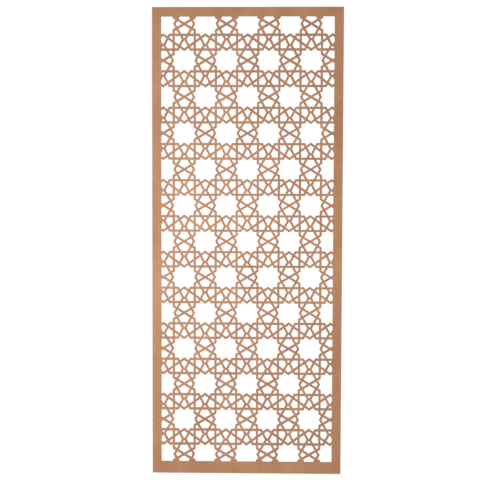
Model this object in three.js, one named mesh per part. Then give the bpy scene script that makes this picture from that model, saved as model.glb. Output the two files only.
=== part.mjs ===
// Mashrabiya screen: one flat sheet of wood fibre board, cut right through with a lattice
// of twelve-pointed stars, inside a plain border left from the same sheet.
// Millimetres. X runs across the sheet, Z up it, Y through its thickness. The front faces -Y
// and the back lies at Y = 0. The origin is on the back, at the middle of the top rail.
import * as THREE from 'three';

// Sheet
const THICKNESS = 6;
const SIDE_RAIL = 37.5;
const TOP_RAIL = 38;
const BOTTOM_RAIL = 49;

// Rows of stars. Wide rows, which come first and last, alternate with narrow rows that hold
// one star fewer and sit half a pitch aside.
const STAR_PITCH = 177;
const ROW_PITCH = 151.5;
const ROW_COUNT = 13;
const STARS_IN_WIDE_ROW = 5;
const SIDE_REACH = 8.5; // opening beyond the centres of the outermost stars
const END_REACH = 31; // opening above the centres of the first row, and below the last

// Middle lines of the bars that ring one star, measured from its centre
const BAR_WIDTH = 9;
const UPRIGHT_BAR_X = STAR_PITCH / 4;
const LEVEL_BAR_Z = 45.3;
const SIDE_POINT_X = 47.5; // the star's point on the level axis
const TOP_POINT_Z = STAR_PITCH / 4; // its point on the upright axis
const CORNER_POINT = 26.7; // how far its other points lie from either axis
const KNEE_X = 4.7; // where the steep bars bend beside the upright axis
const KNEE_Z = 87.5;

// Finish
const BOARD_COLOUR = 0xba8662;
const BOARD_ROUGHNESS = 0.8;

// Sizes that follow
const OPENING_WIDTH = (STARS_IN_WIDE_ROW - 1) * STAR_PITCH + 2 * SIDE_REACH;
const OPENING_HEIGHT = (ROW_COUNT - 1) * ROW_PITCH + 2 * END_REACH;
const OPENING_LEFT = -OPENING_WIDTH / 2;
const OPENING_RIGHT = OPENING_WIDTH / 2;
const OPENING_TOP = -TOP_RAIL / 2;
const OPENING_BOTTOM = OPENING_TOP - OPENING_HEIGHT;
const SHEET_LEFT = OPENING_LEFT - SIDE_RAIL;
const SHEET_RIGHT = OPENING_RIGHT + SIDE_RAIL;
const SHEET_TOP = OPENING_TOP + TOP_RAIL;
const SHEET_BOTTOM = OPENING_BOTTOM - BOTTOM_RAIL;

// The point where the line through a and b crosses the line through c and d
function crossing(a, b, c, d) {
  const along = b.clone().sub(a);
  const other = d.clone().sub(c);
  const t = c.clone().sub(a).cross(other) / along.cross(other);
  return along.multiplyScalar(t).add(a);
}

// An anticlockwise outline with every side moved inwards by the same distance
function inset(outline, distance) {
  const count = outline.length;
  const sides = outline.map((start, i) => {
    const end = outline[(i + 1) % count];
    const along = end.clone().sub(start).normalize();
    const inwards = new THREE.Vector2(-along.y, along.x).multiplyScalar(distance);
    return [start.clone().add(inwards), end.clone().add(inwards)];
  });
  return sides.map((side, i) => crossing(...sides[(i + count - 1) % count], ...side));
}

// The star's opening about its own centre, anticlockwise. A quarter of the ring of bars runs
// from the point on the level axis to the point on the upright axis, and is mirrored twice.
function starOpening() {
  const sidePoint = new THREE.Vector2(SIDE_POINT_X, 0);
  const lowPoint = new THREE.Vector2(UPRIGHT_BAR_X, CORNER_POINT);
  const highPoint = new THREE.Vector2(CORNER_POINT, LEVEL_BAR_Z);
  const topPoint = new THREE.Vector2(0, TOP_POINT_Z);
  const nextStarMeeting = new THREE.Vector2(STAR_PITCH / 2, 0);
  const nextTopPoint = new THREE.Vector2(STAR_PITCH / 2, ROW_PITCH - TOP_POINT_Z);
  const knee = new THREE.Vector2(KNEE_X, KNEE_Z);
  const nextKnee = new THREE.Vector2(STAR_PITCH / 2 - KNEE_X, ROW_PITCH - KNEE_Z);
  const quarter = [
    sidePoint,
    crossing(sidePoint, nextKnee, lowPoint, nextStarMeeting),
    lowPoint,
    new THREE.Vector2(UPRIGHT_BAR_X, LEVEL_BAR_Z),
    highPoint,
    crossing(highPoint, knee, topPoint, nextTopPoint),
    topPoint,
  ];
  const otherQuarter = quarter.slice(0, -1).reverse();
  const upper = [...quarter, ...otherQuarter.map((p) => new THREE.Vector2(-p.x, p.y))];
  const lower = upper.slice(1, -1).reverse().map((p) => new THREE.Vector2(p.x, -p.y));
  return inset([...upper, ...lower], BAR_WIDTH / 2);
}

// The part of an outline on the kept side of one straight cut: inside(p) is positive there,
// and it changes evenly along a line
function cutOff(outline, inside) {
  return outline.flatMap((end, i) => {
    const start = outline[(i + outline.length - 1) % outline.length];
    const before = inside(start);
    const after = inside(end);
    const kept = after > 0 ? [end] : [];
    if (before > 0 === after > 0) {
      return kept;
    }
    return [start.clone().lerp(end, before / (before - after)), ...kept];
  });
}

// An outline cut off at the four inner edges of the border
function withinBorder(outline) {
  const edges = [
    (p) => p.x - OPENING_LEFT,
    (p) => OPENING_RIGHT - p.x,
    (p) => p.y - OPENING_BOTTOM,
    (p) => OPENING_TOP - p.y,
  ];
  return edges.reduce(cutOff, outline);
}

// The centres of all stars, row by row from the top
function starCentres() {
  const centres = [];
  for (let row = 0; row < ROW_COUNT; row += 1) {
    const count = STARS_IN_WIDE_ROW - (row % 2);
    for (let i = 0; i < count; i += 1) {
      const x = (i - (count - 1) / 2) * STAR_PITCH;
      centres.push(new THREE.Vector2(x, OPENING_TOP - END_REACH - row * ROW_PITCH));
    }
  }
  return centres;
}

// The sheet with its star openings, drawn flat and then raised to its thickness
function sheetGeometry() {
  const sheet = new THREE.Shape([
    new THREE.Vector2(SHEET_LEFT, SHEET_BOTTOM),
    new THREE.Vector2(SHEET_RIGHT, SHEET_BOTTOM),
    new THREE.Vector2(SHEET_RIGHT, SHEET_TOP),
    new THREE.Vector2(SHEET_LEFT, SHEET_TOP),
  ]);
  const opening = starOpening();
  for (const centre of starCentres()) {
    const placed = opening.map((point) => point.clone().add(centre));
    sheet.holes.push(new THREE.Path(withinBorder(placed)));
  }
  const geometry = new THREE.ExtrudeGeometry(sheet, { depth: THICKNESS, bevelEnabled: false });
  return geometry.rotateX(Math.PI / 2);
}

function mashrabiyaPanel() {
  const finish = new THREE.MeshStandardMaterial({
    color: BOARD_COLOUR,
    roughness: BOARD_ROUGHNESS,
    metalness: 0,
  });
  const panel = new THREE.Mesh(sheetGeometry(), finish);
  panel.name = 'mashrabiya_panel';
  return panel;
}

const screen = new THREE.Group();
screen.add(mashrabiyaPanel());

export default screen;
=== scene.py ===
import math

import bpy
import numpy as np
from mathutils.geometry import delaunay_2d_cdt
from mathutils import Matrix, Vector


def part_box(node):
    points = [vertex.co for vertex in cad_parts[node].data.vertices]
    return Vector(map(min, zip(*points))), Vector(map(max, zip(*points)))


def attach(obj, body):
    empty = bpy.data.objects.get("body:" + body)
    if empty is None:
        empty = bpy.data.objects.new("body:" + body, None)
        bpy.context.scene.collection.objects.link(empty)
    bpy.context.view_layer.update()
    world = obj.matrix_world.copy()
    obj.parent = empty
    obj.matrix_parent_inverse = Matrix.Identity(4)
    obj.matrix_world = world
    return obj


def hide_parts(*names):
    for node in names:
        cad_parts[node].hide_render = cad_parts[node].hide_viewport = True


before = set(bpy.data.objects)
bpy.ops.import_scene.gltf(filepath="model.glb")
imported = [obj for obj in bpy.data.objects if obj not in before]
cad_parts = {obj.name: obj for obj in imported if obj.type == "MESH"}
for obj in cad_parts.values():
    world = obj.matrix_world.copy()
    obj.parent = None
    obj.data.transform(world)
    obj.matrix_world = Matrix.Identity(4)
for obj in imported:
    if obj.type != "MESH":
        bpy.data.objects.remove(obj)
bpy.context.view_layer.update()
SHEET_LOW, SHEET_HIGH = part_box("mashrabiya_panel")

bl_info = {
    "name": "Mashrabiya Screen",
    "version": (1, 0, 0),
    "blender": (4, 5, 0),
    "location": "3D View > Sidebar > Screen",
    "description": "Cuts a star lattice panel from fibre board and sets the studio round it",
    "category": "Object",
}

MM = 0.001

# The sheet's map, which textures can be baked on
MAP_NAME = "OFBake"
MAP_GAP = 1.2 * MM


def linear(hex_colour):
    """A colour written as sRGB hex, as three linear values."""
    srgb = [int(hex_colour[i : i + 2], 16) / 255 for i in (1, 3, 5)]
    return tuple(c / 12.92 if c <= 0.04045 else ((c + 0.055) / 1.055) ** 2.4 for c in srgb)


# Sizes and colours that a user would change


def number(name, description, default, **kind):
    """A number of no unit, unless kind gives one."""
    return bpy.props.FloatProperty(name=name, description=description, default=default, min=0, **kind)


def length(name, description, default):
    """A length in metres."""
    return number(name, description, default, unit="LENGTH", precision=5)


def power(name, description, default):
    """The power of a light, in watts."""
    return number(name, description, default, unit="POWER")


def place(name, description, default):
    """A point in metres."""
    return bpy.props.FloatVectorProperty(
        name=name, description=description, default=default, subtype="TRANSLATION", unit="LENGTH"
    )


def colour(name, description, hex_colour):
    """A colour, kept as linear values."""
    return bpy.props.FloatVectorProperty(
        name=name, description=description, default=linear(hex_colour), subtype="COLOR", min=0, max=1
    )


class ScreenLattice(bpy.types.PropertyGroup):
    """Sizes of the border, the rows of stars and the bars between the openings"""

    side_rail: length("Side rail", "Width of the border left and right", 37.5 * MM)
    top_rail: length("Top rail", "Height of the border above the lattice", 38 * MM)
    bottom_rail: length("Bottom rail", "Height of the border below the lattice", 49 * MM)
    side_reach: length("Side reach", "Lattice beyond the centres of the outermost stars", 8.5 * MM)
    end_reach: length("End reach", "Lattice above the first row of centres and below the last", 31 * MM)
    rows: bpy.props.IntProperty(name="Rows", description="Rows of stars", default=13, min=1)
    stars_across: bpy.props.IntProperty(
        name="Stars across",
        description="Stars in the first row, one more than in the second",
        default=5,
        min=2,
    )
    bar_width: length("Bar width", "Width of every bar", 9 * MM)
    side_point: length("Side point", "From a star's centre to its point on the level axis", 47.5 * MM)
    level_bar: length("Level bar", "From a star's centre to the level bar above it", 45.3 * MM)
    corner_point: length("Corner point", "From either axis to the star's points beside it", 26.7 * MM)
    knee_across: length("Knee across", "From the upright axis to the bend in the steep bars", 4.7 * MM)
    knee_up: length("Knee up", "From the level axis to the bend in the steep bars", 87.5 * MM)
    least_opening: number(
        "Least opening",
        "Area under which an opening cut short by the border is left solid",
        60 * MM * MM,
        unit="AREA",
        precision=6,
    )
    cutter_radius: length("Cutter radius", "How far the inner corners of the openings are eased", 0.8 * MM)
    arris: length("Arris", "Width of the sanded arris along every front edge", 0.45 * MM)
    back_arris: length("Back arris", "Width of the arris along every back edge", 0.25 * MM)
    scorch: length("Scorch", "How far the browning from the cut reaches over the front face", 1.6 * MM)


class ScreenBoard(bpy.types.PropertyGroup):
    """Colours of the raw fibre board"""

    pale: colour("Pale fibre", "The lightest of the felted fibres", "#D4A37D")
    face: colour("Face", "The board's usual colour", "#BE8865")
    dark: colour("Dark fibre", "The darkest of the felted fibres", "#A06E4D")
    speck: colour("Speck", "The few dark specks of bark", "#7A5238")
    cut: colour("Cut edge", "The walls browned by the cutting beam", "#976C4D")
    char: colour("Char", "The darkest streaks in those walls", "#674735")


class ScreenStudio(bpy.types.PropertyGroup):
    """The light, the floor and the camera round the screen"""

    backdrop: colour("Backdrop", "The white that shows behind and through the screen", "#FFFFFF")
    surround: number("Surround", "Strength of the even light from all round", 0.478)
    surround_tint: colour("Surround tint", "That light is a little warm", "#FFF6EA")
    key_power: power("Key power", "Power of the soft light at front left", 30.3)
    key_tint: colour("Key tint", "That light is a little cool, as daylight is", "#F0F7FF")
    key_side: length("Key side", "Length of each side of that light", 0.7)
    key_place: place("Key place", "Where that light hangs", (-0.9, -1.9, -1.0))
    back_power: power("Back power", "Power of the soft light behind the screen", 60)
    back_side: length("Back side", "Length of each side of that light", 1.8)
    back_place: place("Back place", "Where that light hangs", (1.1, 2.6, -0.6))
    floor: colour("Floor", "The pale floor", "#E9E6E1")
    floor_drop: length("Floor drop", "From the screen's lower edge down to the floor", 1.0)
    floor_radius: length("Floor radius", "How far the floor reaches before it has faded out", 2.2)
    lens: number("Lens", "The camera's focal length", 48, unit="CAMERA")
    sensor: number("Sensor", "Width of the camera's sensor", 36, unit="CAMERA")
    camera_place: place("Camera place", "Where the camera stands", (0.0072, -2.7014, -0.8636))
    camera_turn: bpy.props.FloatVectorProperty(
        name="Camera turn",
        description="The camera's turn about X, Y and Z",
        default=[math.radians(angle) for angle in (88.1102, -0.1601, 0.7945)],
        subtype="EULER",
    )


# Closed outlines in the sheet's plane, as whole arrays. The points of all outlines lie one after
# another in one array, and a second array says which outline each point is on.


def turn(a, b):
    """How far direction b turns anticlockwise from a: a's x times b's z less a's z times b's x."""
    return a[..., 0] * b[..., 1] - a[..., 1] * b[..., 0]


def crossing(a, b, c, d):
    """Where the line through a and b crosses the line through c and d: a plus the share t of the
    way to b, t being turn(c - a, d - c) over turn(b - a, d - c)."""
    return a + (b - a) * turn(c - a, d - c) / turn(b - a, d - c)


def neighbours(outline):
    """Which points come before and after each point on its own closed outline."""
    here = np.arange(len(outline))
    first = np.searchsorted(outline, outline, side="left")
    last = np.searchsorted(outline, outline, side="right") - 1
    return np.where(here == first, last, here - 1), np.where(here == last, first, here + 1)


def areas(points, outline):
    """Each outline's area, positive if it runs anticlockwise: half the sum of turn(p, next p)."""
    _, after = neighbours(outline)
    return np.bincount(outline, turn(points, points[after])) / 2


def mitres(points, outline):
    """At each point, the step that moves both sides there outwards by one unit: the sum of the
    sides' outward normals over one plus their dot product. On an opening, which runs
    anticlockwise, outwards is into the board."""
    before, after = neighbours(outline)
    side = points[after] - points
    normal = np.stack([side[:, 1], -side[:, 0]], axis=1)
    normal /= np.linalg.norm(normal, axis=1, keepdims=True)
    both = normal + normal[before]
    return both / (1 + np.sum(normal * normal[before], axis=1, keepdims=True))


def cut_off(points, outline, axis, limit, side):
    """What is left of the outlines on one side of a straight line, x or z = limit. Each point is
    kept if it is on that side, and where a side of the outline crosses the line, the crossing
    comes in before its end point."""
    before, _ = neighbours(outline)
    start = points[before]
    start_depth = side * (start[:, axis] - limit)
    end_depth = side * (points[:, axis] - limit)
    crosses = (start_depth > 0) != (end_depth > 0)
    share = start_depth / np.where(crosses, start_depth - end_depth, 1)
    cut = start + (points - start) * share[:, None]
    candidates = np.stack([cut, points], axis=1).reshape(-1, 2)
    kept = np.stack([crosses, end_depth > 0], axis=1).ravel()
    return candidates[kept], np.repeat(outline, 2)[kept]


def eased(points, outline, reach, steps):
    """The outlines with their inner corners drawn as short parabolas. A corner c becomes
    (1 - t)² p + 2 t (1 - t) c + t² q, with t from 0 to 1 in even steps, p and q lying on its two
    sides at the same reach from it. Corners where the board sticks out stay sharp."""
    before, after = neighbours(outline)
    back = points[before] - points
    ahead = points[after] - points
    back_length = np.linalg.norm(back, axis=1)
    ahead_length = np.linalg.norm(ahead, axis=1)
    longest_share = 0.4
    inner = turn(ahead, back) > 0
    reach = np.minimum(reach, longest_share * np.minimum(back_length, ahead_length)) * inner
    p = points + back * (reach / back_length)[:, None]
    q = points + ahead * (reach / ahead_length)[:, None]
    count = np.where(inner, steps, 1)
    corner = np.repeat(np.arange(len(points)), count)
    step = np.arange(count.sum()) - np.repeat(np.cumsum(count) - count, count)
    t = (step / (steps - 1))[:, None]
    curve = (1 - t) ** 2 * p[corner] + 2 * t * (1 - t) * points[corner] + t**2 * q[corner]
    return curve, outline[corner]


# The star lattice


def star_openings(sizes, star_pitch, row_pitch):
    """The openings that belong to one star, about its centre, as one array of points and one of
    outline numbers. The bars' middle lines are straight, apart from a slight knee in the steep
    ones, and they are worked out in the quarter right of and above the centre and mirrored. Every
    opening is a polygon between middle lines, moved inwards by half a bar: its points less the
    mitres times that."""
    half = np.array([star_pitch, row_pitch]) / 2
    quarter_pitch = star_pitch / 4
    below = np.array([1, -1])  # times a point, its mirror image below the level axis
    left = np.array([-1, 1])  # times a point, its mirror image left of the upright axis

    # Points of the star, in the quarter right of and above its centre
    side = np.array([sizes.side_point, 0])
    low = np.array([quarter_pitch, sizes.corner_point])
    high = np.array([sizes.corner_point, sizes.level_bar])
    top = np.array([0, quarter_pitch])

    # Where bars bend or meet between this star, the one beside it and the one in the next row
    knee = np.array([sizes.knee_across, sizes.knee_up])
    beside = np.array([half[0], 0])
    slant = np.array([quarter_pitch, half[1]])
    corner = np.array([quarter_pitch, sizes.level_bar])

    def opposite(point):
        """The same place about the star in the next row, half a pitch aside."""
        return 2 * slant - point

    def across(point):
        """The same place about the star beside, in the same row."""
        return np.array([star_pitch - point[0], point[1]])

    steep = (side, opposite(knee))
    side_crossing = crossing(low, beside, *steep)
    top_crossing = crossing(high, knee, top, opposite(top))
    level_crossing = crossing(corner, high, *steep)

    quarter = [side, side_crossing, low, corner, high, top_crossing]
    upper = [*quarter, top, *(left * p for p in reversed(quarter))]
    star = [*upper, *(below * p for p in reversed(upper[1:-1]))]
    side_kite = [side, below * side_crossing, beside, side_crossing]
    low_kite = [low, side_crossing, level_crossing, corner]
    high_kite = [top_crossing, high, corner, slant]
    top_kite = [top, top_crossing, knee, left * knee, left * top_crossing]
    level_pentagon = [beside, across(side_crossing), across(level_crossing), level_crossing, side_crossing]
    upper_pentagon = [slant, opposite(corner), opposite(level_crossing), knee, top_crossing]
    lower_pentagon = [slant, corner, level_crossing, opposite(knee), opposite(top_crossing)]
    triangle = [knee, opposite(level_crossing), left * opposite(level_crossing), left * knee]

    once = [(1, 1)]
    left_and_right = [(1, 1), (-1, 1)]
    up_and_down = [(1, 1), (1, -1)]
    all_round = [(1, 1), (-1, 1), (1, -1), (-1, -1)]
    kinds = [
        (star, once),
        (side_kite, left_and_right),
        (low_kite, all_round),
        (high_kite, all_round),
        (top_kite, up_and_down),
        (level_pentagon, up_and_down),
        (upper_pentagon, left_and_right),
        (lower_pentagon, left_and_right),
        (triangle, up_and_down),
    ]
    polygons = [np.array(polygon) * sign for polygon, signs in kinds for sign in signs]
    outline = np.repeat(np.arange(len(polygons)), [len(polygon) for polygon in polygons])
    clockwise = areas(np.concatenate(polygons), outline) < 0
    turned = [polygon[::-1] if back else polygon for polygon, back in zip(polygons, clockwise)]
    points = np.concatenate(turned)
    return points - mitres(points, outline) * sizes.bar_width / 2, outline


def lattice_outlines(sizes):
    """All openings of the panel. The openings of one star are repeated about every centre, with
    one row and one star more on each side, then cut off at the border's inner edges. What the
    border leaves as a sliver isn't cut."""
    left = SHEET_LOW.x + sizes.side_rail
    right = SHEET_HIGH.x - sizes.side_rail
    bottom = SHEET_LOW.z + sizes.bottom_rail
    top = SHEET_HIGH.z - sizes.top_rail
    star_pitch = (right - left - 2 * sizes.side_reach) / (sizes.stars_across - 1)
    row_pitch = (top - bottom - 2 * sizes.end_reach) / (sizes.rows - 1)
    middle = (left + right) / 2

    centres = []
    for row in range(-1, sizes.rows + 1):
        count = sizes.stars_across + 2 - row % 2
        x = middle + (np.arange(count) - (count - 1) / 2) * star_pitch
        centres.append(np.stack([x, np.full(count, top - sizes.end_reach - row * row_pitch)], axis=1))
    centres = np.concatenate(centres)

    cell, cell_outline = star_openings(sizes, star_pitch, row_pitch)
    points = (centres[:, None] + cell).reshape(-1, 2)
    outline = (np.arange(len(centres))[:, None] * (cell_outline[-1] + 1) + cell_outline).ravel()
    for axis, limit, side in ((0, left, 1), (0, right, -1), (1, bottom, 1), (1, top, -1)):
        points, outline = cut_off(points, outline, axis, limit, side)
    large = areas(points, outline)[outline] > sizes.least_opening
    points, outline = points[large], outline[large]
    corner_steps = 3
    return eased(points, outline, sizes.cutter_radius, corner_steps)


def sheet_outline():
    """The sheet's outer edge, clockwise, so that outwards is into the board as on an opening. Each
    side is divided into even lengths, which keeps the long flat faces' triangles compact."""
    longest_step = 30 * MM
    low = np.array([SHEET_LOW.x, SHEET_LOW.z])
    high = np.array([SHEET_HIGH.x, SHEET_HIGH.z])
    corners = np.array([low, (low[0], high[1]), high, (high[0], low[1])])
    sides = []
    for start, end in zip(corners, np.roll(corners, -1, axis=0)):
        steps = math.ceil(np.linalg.norm(end - start) / longest_step)
        sides.append(start + (end - start) * (np.arange(steps) / steps)[:, None])
    return np.concatenate(sides)


def flat_face(points, outline):
    """Triangles that fill the board between outlines, anticlockwise, as numbers of points: the
    constrained Delaunay triangulation of the sheet's edge, which is outline 0, with the openings
    left out."""
    _, after = neighbours(outline)
    edge = np.flatnonzero(outline == 0)
    opening = np.flatnonzero(outline > 0)
    opening_sides = np.stack([opening, after[opening]], axis=1)
    inside_with_holes = 2
    closest = 1e-9
    places, _, faces, origins, _, _ = delaunay_2d_cdt(
        points.tolist(), opening_sides.tolist(), [edge.tolist()], inside_with_holes, closest
    )
    if len(places) != len(points):
        raise RuntimeError("Two openings touch, so the lattice can't be cut: make the bars wider")
    triangles = np.array([origin[0] for origin in origins])[np.array(faces)]
    a, b, c = (points[triangles[:, i]] for i in range(3))
    clockwise = turn(b - a, c - a) < 0
    triangles[clockwise] = triangles[clockwise][:, ::-1]
    return triangles


def laid_flat(flat):
    """Where the vertices lie on the map, in metres, as part of the front face and as part of the
    back. The front is laid down as it is, at x and z from the sheet's lower left corner, and the
    back is turned over beside it, at twice the sheet's width and a gap less x."""
    x, z = (flat.reshape(-1, 2) - (SHEET_LOW.x, SHEET_LOW.z)).T
    width = SHEET_HIGH.x - SHEET_LOW.x
    return np.stack([x, z], axis=1), np.stack([2 * width + MAP_GAP - x, z], axis=1)


def unrolled(points, outline, profile):
    """Where the corners of the quads over the walls and arrises lie on the map, in metres. The
    walls of all outlines are laid end to end in one long line, u being the length along the
    outlines so far and v the length along the profile. The line is cut into rows beside the two
    faces, as many as fit in the sheet's height."""
    width = SHEET_HIGH.x - SHEET_LOW.x
    _, after = neighbours(outline)
    length = np.linalg.norm(points[after] - points, axis=1)
    start = np.cumsum(length) - length
    v = np.insert(np.cumsum(np.linalg.norm(np.diff(profile, axis=0), axis=1)), 0, 0)
    row_height = v[-1] + MAP_GAP
    row_length = length.sum() / math.floor((SHEET_HIGH.z - SHEET_LOW.z) / row_height)
    row = start // row_length
    u = 2 * (width + MAP_GAP) + start - row * row_length
    ends = np.stack([u, u + length, u + length, u], axis=1)
    heights = np.stack([v[:-1], v[:-1], v[1:], v[1:]], axis=1)
    places = np.broadcast_arrays(ends, heights[:, None] + (row * row_height)[:, None])
    return np.stack(places, axis=-1)


def edge_profile(sizes):
    """The section that every outline carries, from the front face over the arris, down the wall of
    the cut and over the back arris. Each row is one of its points: how far it reaches into the
    board, its depth, how browned it is, and whether it is on the front arris."""
    front, back = SHEET_LOW.y, SHEET_HIGH.y
    half_browned = 0.55
    return np.array(
        [
            (sizes.scorch, front, 0, 0),
            (sizes.arris, front, half_browned, 1),
            (0, front + sizes.arris, 1, 1),
            (0, back - sizes.back_arris, 1, 0),
            (sizes.back_arris, back, 0, 0),
        ]
    )


def cut_sheet(sizes):
    """The panel's vertices, its faces, the browning and arris of each vertex, and the place of each
    face's corners on the map. A vertex is an outline's point plus its mitre times the profile's
    reach, at the profile's depth. Quads join each step of the profile to the next, and the front
    and back faces fill what lies between the profile's first points and between its last."""
    edge = sheet_outline()
    openings, opening = lattice_outlines(sizes)
    points = np.concatenate([edge, openings])
    outline = np.concatenate([np.zeros(len(edge), int), opening + 1])
    mitre = mitres(points, outline)

    profile = edge_profile(sizes)
    reach, depth, browned, arris = profile.T
    flat = points + mitre * reach[:, None, None]
    vertices = np.insert(flat, 1, depth[:, None], axis=2).reshape(-1, 3)

    _, after = neighbours(outline)
    count = len(points)
    near = np.stack([np.arange(count), after], axis=1)
    first_quads = np.concatenate([near, near[:, ::-1] + count], axis=1)
    strips = np.arange(len(profile) - 1)[:, None] * count
    quads = first_quads + strips[:, None]
    face = flat_face(flat[0], outline)
    back_face = flat_face(flat[-1], outline)[:, ::-1] + strips[-1] + count
    faces = [*quads.reshape(-1, 4).tolist(), *face.tolist(), *back_face.tolist()]

    front_map, back_map = laid_flat(flat)
    walls = unrolled(points, outline, profile[1:, :2])
    parts = [front_map[quads[0]], walls, front_map[face], back_map[back_face]]
    corners = np.concatenate([part.reshape(-1, 2) for part in parts])
    shares = {"browned": np.repeat(browned, count), "arris": np.repeat(arris, count)}
    return vertices, faces, shares, corners / corners.max()


# Finish


def add(tree, kind, inputs=None, **settings):
    """Adds one node to a tree. Settings are its own properties. Inputs pairs an input's name or
    number with the output that feeds it, or else with its value."""
    node = tree.nodes.new(kind)
    for name, value in settings.items():
        setattr(node, name, value)
    for name, value in (inputs or {}).items():
        if isinstance(value, bpy.types.NodeSocket):
            tree.links.new(value, node.inputs[name])
        else:
            node.inputs[name].default_value = value
    return node


# The numbers of a colour Mix node's sockets, whose names are shared with its other kinds
MIX_SHARE, MIX_FIRST, MIX_SECOND, MIX_RESULT = 0, 6, 7, 2


def raw_fibre_board(board):
    """Medium-density fibre board, pressed from fine wood fibres, sanded and left raw, its edges
    browned by the cutting beam. It gives the eye an even, matt, warm brown with faint clouds, short
    felted fibres in every direction, a few dark specks of bark, darker, streaked walls in the cuts,
    and an arris that is rubbed pale and smooth in places."""
    material = bpy.data.materials.new("raw_fibre_board")
    material.use_nodes = True
    tree = material.node_tree
    place = add(tree, "ShaderNodeTexCoord").outputs["Object"]

    def patches(size, degrees=0, detail=2):
        """Soft patches of a real size, across, through and up the sheet in millimetres, turned in
        the sheet's plane."""
        turned = add(
            tree,
            "ShaderNodeMapping",
            {"Vector": place, "Rotation": (0, math.radians(degrees), 0), "Scale": np.array(size) * MM},
            vector_type="TEXTURE",
        )
        noise = add(tree, "ShaderNodeTexNoise", {"Vector": turned.outputs[0], "Scale": 1, "Detail": detail})
        return noise.outputs["Fac"]

    # Real fibres are 0.1 to 0.3 mm thick. They are drawn 0.5 mm thick, and felted bundles of them
    # coarser again, so that some of the felt still shows from across a room. Each layer is the
    # size of its patches, their turn and its weight.
    layers = [
        ((5, 2, 0.5), 15, 0.5),
        ((5, 2, 0.5), 75, 0.5),
        ((5, 2, 0.5), 135, 0.5),
        ((14, 6, 5), 40, 0.35),
        ((14, 6, 5), 110, 0.35),
        ((70, 20, 110), 0, 0.35),  # clouds from the pressing of the mat
        ((320, 100, 420), 0, 0.3),
        ((1.6, 20, 380), 0, 0.15),  # streaks left by the sanding belt
    ]
    # The patches lie about 0.5, and the tone, which is their weighted sum, is kept about it too
    even = 0.5
    tone = even * (1 - sum(weight for _, _, weight in layers))
    for size, degrees, weight in layers:
        layer = {0: patches(size, degrees), 1: weight, 2: tone}
        tone = add(tree, "ShaderNodeMath", layer, operation="MULTIPLY_ADD").outputs[0]
    darkest, palest = 0.15, 0.85
    felt = add(tree, "ShaderNodeValToRGB", {"Fac": tone})
    ramp = felt.color_ramp.elements
    ramp.new(even).color = (*board.face, 1)
    ramp[0].position, ramp[0].color = darkest, (*board.dark, 1)
    ramp[-1].position, ramp[-1].color = palest, (*board.pale, 1)

    # Specks of bark, slivers up to 2 mm long, where either of two layers is at its strongest
    speck_rim, speck_core = 0.81, 0.85
    slivers = {i: patches((2, 1.5, 0.7), degrees, detail=0) for i, degrees in enumerate((30, 125))}
    strongest = add(tree, "ShaderNodeMath", slivers, operation="MAXIMUM").outputs[0]
    limits = {"From Min": speck_rim, "From Max": speck_core}
    speck = add(tree, "ShaderNodeMapRange", {"Value": strongest, **limits})
    specked = add(
        tree,
        "ShaderNodeMix",
        {MIX_SHARE: speck.outputs[0], MIX_FIRST: felt.outputs["Color"], MIX_SECOND: (*board.speck, 1)},
        data_type="RGBA",
    )

    # The browning is carried by the mesh: none on the faces, full on the walls of the cuts. It is
    # uneven along an edge, and dark streaks run through the walls from front to back. Real ones
    # are finer than the 0.6 mm that is drawn.
    sparse, dense = 0.3, 0.7
    faintest, fullest = 0.55, 1.1
    browned = add(tree, "ShaderNodeAttribute", attribute_name="browned").outputs["Fac"]
    limits = {"From Min": sparse, "From Max": dense, "To Min": faintest, "To Max": fullest}
    uneven = add(tree, "ShaderNodeMapRange", {"Value": patches((9, 9, 9)), **limits})
    share = add(tree, "ShaderNodeMath", {0: browned, 1: uneven.outputs[0]}, operation="MULTIPLY")
    streak_rim, streak_core = 0.35, 0.75
    limits = {"From Min": streak_rim, "From Max": streak_core}
    streaks = add(tree, "ShaderNodeMapRange", {"Value": patches((0.6, 14, 0.6)), **limits})
    wall = add(
        tree,
        "ShaderNodeMix",
        {MIX_SHARE: streaks.outputs[0], MIX_FIRST: (*board.cut, 1), MIX_SECOND: (*board.char, 1)},
        data_type="RGBA",
    )
    sides = {MIX_FIRST: specked.outputs[MIX_RESULT], MIX_SECOND: wall.outputs[MIX_RESULT]}
    edged = add(tree, "ShaderNodeMix", {MIX_SHARE: share.outputs[0], **sides}, data_type="RGBA")

    # Hands and cloths have rubbed the browning off the arris in stretches of a few centimetres
    crest_foot, barest = 0.8, 0.9
    untouched, most_touched = 0.42, 0.58
    arris = add(tree, "ShaderNodeAttribute", attribute_name="arris").outputs["Fac"]
    crest = add(tree, "ShaderNodeMapRange", {"Value": arris, "From Min": crest_foot})
    limits = {"From Min": untouched, "From Max": most_touched, "To Max": barest}
    handled = add(tree, "ShaderNodeMapRange", {"Value": patches((30, 30, 45)), **limits})
    rubbed = add(tree, "ShaderNodeMath", {0: crest.outputs[0], 1: handled.outputs[0]}, operation="MULTIPLY")
    worn = add(
        tree,
        "ShaderNodeMix",
        {MIX_SHARE: rubbed.outputs[0], MIX_FIRST: edged.outputs[MIX_RESULT], MIX_SECOND: (*board.pale, 1)},
        data_type="RGBA",
    )

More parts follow.
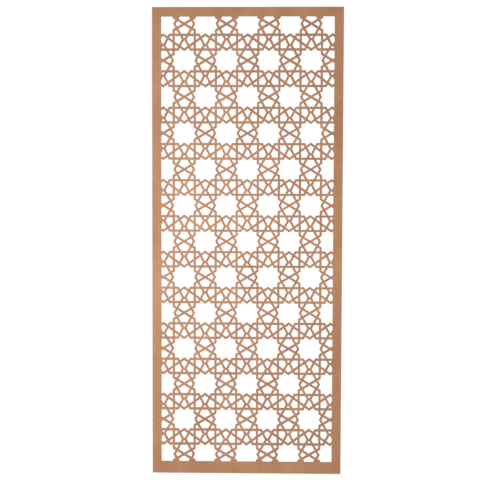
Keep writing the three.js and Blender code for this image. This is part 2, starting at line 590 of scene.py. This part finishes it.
    # Pale fibres lie smoother than dark ones, and the rubbed arris is smoother still. The felt
    # stands up by about a tenth of a millimetre, and so do the streaks in the walls.
    matt, smoother, polish = 0.86, 0.72, -0.2
    relief_strength, relief_height = 0.35, 0.12 * MM
    felted = add(tree, "ShaderNodeMapRange", {"Value": tone, "To Min": matt, "To Max": smoother})
    gloss = {0: rubbed.outputs[0], 1: polish, 2: felted.outputs[0]}
    roughness = add(tree, "ShaderNodeMath", gloss, operation="MULTIPLY_ADD")
    heights = {0: streaks.outputs[0], 1: browned, 2: tone}
    height = add(tree, "ShaderNodeMath", heights, operation="MULTIPLY_ADD").outputs[0]
    grain = {"Height": height, "Strength": relief_strength, "Distance": relief_height}
    relief = add(tree, "ShaderNodeBump", grain)

    shader = tree.nodes["Principled BSDF"]
    tree.links.new(worn.outputs[MIX_RESULT], shader.inputs["Base Color"])
    tree.links.new(roughness.outputs[0], shader.inputs["Roughness"])
    tree.links.new(relief.outputs[0], shader.inputs["Normal"])
    return material


def pale_floor(studio):
    """Pale emulsion paint, rolled smooth over a studio floor. It gives the eye an even, matt ground
    that fades into the white round it, so that no edge of it shows."""
    matt = 0.7
    unfaded_share = 0.25
    material = bpy.data.materials.new("pale_floor")
    material.use_nodes = True
    tree = material.node_tree
    place = add(tree, "ShaderNodeTexCoord").outputs["Object"]
    level = add(tree, "ShaderNodeVectorMath", {0: place, 1: (1, 1, 0)}, operation="MULTIPLY")
    distance = add(tree, "ShaderNodeVectorMath", {0: level.outputs[0]}, operation="LENGTH")
    radius = studio.floor_radius
    limits = {"From Min": unfaded_share * radius, "From Max": radius, "To Min": 1, "To Max": 0}
    fading = {"Value": distance.outputs["Value"], **limits}
    fade = add(tree, "ShaderNodeMapRange", fading, interpolation_type="SMOOTHSTEP")
    shader = tree.nodes["Principled BSDF"]
    shader.inputs["Base Color"].default_value = (*studio.floor, 1)
    shader.inputs["Roughness"].default_value = matt
    tree.links.new(fade.outputs[0], shader.inputs["Alpha"])
    return material


# Operators


class MASHRABIYA_OT_panel(bpy.types.Operator):
    """Cut the star lattice panel from one sheet of fibre board"""

    bl_idname = "mashrabiya.panel"
    bl_label = "Lattice Panel"

    def execute(self, context):
        vertices, faces, shares, corners = cut_sheet(context.scene.screen_lattice)
        mesh = bpy.data.meshes.new("lattice_panel")
        mesh.from_pydata(vertices.tolist(), [], faces)
        for name, values in shares.items():
            mesh.attributes.new(name, "FLOAT", "POINT").data.foreach_set("value", values)
        mesh.uv_layers.new(name=MAP_NAME).uv.foreach_set("vector", corners.ravel())
        mesh.materials.append(raw_fibre_board(context.scene.screen_board))
        panel = bpy.data.objects.new("lattice_panel", mesh)
        context.scene.collection.objects.link(panel)
        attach(panel, "root")
        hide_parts("mashrabiya_panel")
        return {"FINISHED"}


class MASHRABIYA_OT_stage(bpy.types.Operator):
    """Set the floor, the white surround, the lights and the camera"""

    bl_idname = "mashrabiya.stage"
    bl_label = "Studio Stage"

    def execute(self, context):
        studio = context.scene.screen_studio
        context.scene.view_settings.view_transform = "Standard"

        world = bpy.data.worlds.new("studio")
        world.use_nodes = True
        context.scene.world = world
        tree = world.node_tree
        tree.nodes.clear()
        seen = add(tree, "ShaderNodeLightPath").outputs["Is Camera Ray"]
        surround = {"Strength": studio.surround, "Color": (*studio.surround_tint, 1)}
        lit = add(tree, "ShaderNodeBackground", surround)
        white = add(tree, "ShaderNodeBackground", {"Color": (*studio.backdrop, 1)})
        mix = add(tree, "ShaderNodeMixShader", {0: seen, 1: lit.outputs[0], 2: white.outputs[0]})
        add(tree, "ShaderNodeOutputWorld", {"Surface": mix.outputs[0]})

        r = studio.floor_radius
        z = SHEET_LOW.z - studio.floor_drop
        mesh = bpy.data.meshes.new("floor")
        mesh.from_pydata([(-r, -r, z), (r, -r, z), (r, r, z), (-r, r, z)], [], [(0, 1, 2, 3)])
        mesh.materials.append(pale_floor(studio))
        floor = bpy.data.objects.new("floor", mesh)
        context.scene.collection.objects.link(floor)

        middle = (SHEET_LOW + SHEET_HIGH) / 2
        for name, spot, side, watts, tint in (
            ("key_light", studio.key_place, studio.key_side, studio.key_power, studio.key_tint),
            ("back_light", studio.back_place, studio.back_side, studio.back_power, studio.backdrop),
        ):
            softbox = bpy.data.lights.new(name, "AREA")
            softbox.size = side
            softbox.energy = watts
            softbox.color = tint
            light = bpy.data.objects.new(name, softbox)
            light.location = spot
            light.rotation_euler = (middle - light.location).to_track_quat("-Z", "Y").to_euler()
            context.scene.collection.objects.link(light)

        camera = bpy.data.objects.new("camera", bpy.data.cameras.new("camera"))
        camera.data.lens = studio.lens
        camera.data.sensor_width = studio.sensor
        camera.location = studio.camera_place
        camera.rotation_euler = studio.camera_turn
        context.scene.collection.objects.link(camera)
        context.scene.camera = camera
        return {"FINISHED"}


class MASHRABIYA_PT_sidebar(bpy.types.Panel):
    """Lists the steps that make the screen"""

    bl_idname = "MASHRABIYA_PT_sidebar"
    bl_label = "Mashrabiya Screen"
    bl_space_type = "VIEW_3D"
    bl_region_type = "UI"
    bl_category = "Screen"

    def draw(self, context):
        for operator in (MASHRABIYA_OT_stage, MASHRABIYA_OT_panel):
            self.layout.operator(operator.bl_idname)


CLASSES = (
    ScreenLattice,
    ScreenBoard,
    ScreenStudio,
    MASHRABIYA_OT_panel,
    MASHRABIYA_OT_stage,
    MASHRABIYA_PT_sidebar,
)


def register():
    for cls in CLASSES:
        bpy.utils.register_class(cls)
    bpy.types.Scene.screen_lattice = bpy.props.PointerProperty(type=ScreenLattice)
    bpy.types.Scene.screen_board = bpy.props.PointerProperty(type=ScreenBoard)
    bpy.types.Scene.screen_studio = bpy.props.PointerProperty(type=ScreenStudio)


def unregister():
    del bpy.types.Scene.screen_studio
    del bpy.types.Scene.screen_board
    del bpy.types.Scene.screen_lattice
    for cls in reversed(CLASSES):
        bpy.utils.unregister_class(cls)


def main():
    """Makes the stage and the panel."""
    register()
    bpy.ops.mashrabiya.stage()
    bpy.ops.mashrabiya.panel()


if __name__ == "__main__":
    main()
